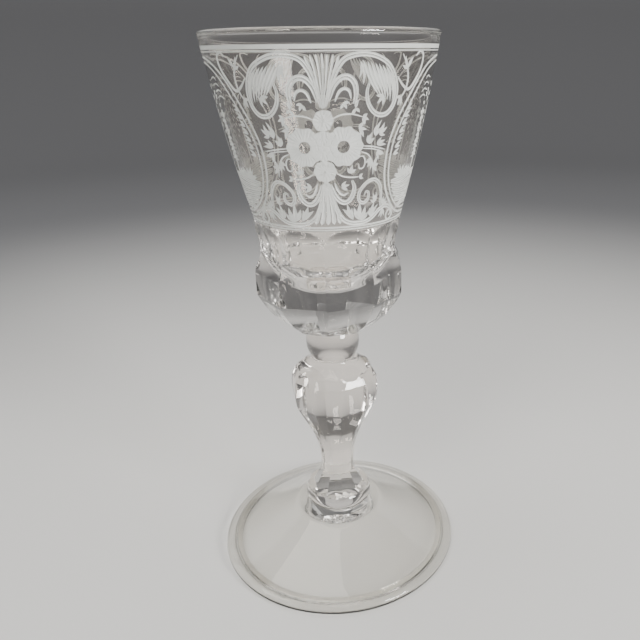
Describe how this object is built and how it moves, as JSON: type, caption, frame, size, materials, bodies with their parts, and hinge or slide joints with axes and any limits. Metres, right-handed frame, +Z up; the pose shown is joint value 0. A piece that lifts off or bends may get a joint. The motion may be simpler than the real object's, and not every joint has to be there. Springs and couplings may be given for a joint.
{
  "type": "wine glass",
  "caption": "Stemmed wine glass with a conical engraved bowl, cut bulb and waist, small knop, faceted baluster stem, flared collar and wide folded foot.",
  "frame": {"origin": "centre of the circle on which the foot rests, at the lowest point of the glass", "axes": "+Z up along the stem's axis, from the foot to the rim; -Y is the side with the front flower panel of the engraving"},
  "size_m": [0.082, 0.082, 0.1685],
  "materials": {
    "bowl_glass": "clear fire-polished glass, wheel-engraved matt ornament on the cone, polished cut facets below",
    "knop_glass": "clear polished glass with a faint straw tint",
    "baluster_glass": "clear glass, cut in panels and polished, faint straw and pink tint",
    "collar_glass": "clear glass, cut panels above a smooth flare, faint straw tint",
    "foot_glass": "clear fire-polished glass with a folded edge and a pontil scar underneath"
  },
  "bodies": {
    "root": {"bowl": "bowl_glass", "upper_knop": "knop_glass", "baluster": "baluster_glass", "foot_collar": "collar_glass", "foot": "foot_glass"}
  },
  "joints": []
}
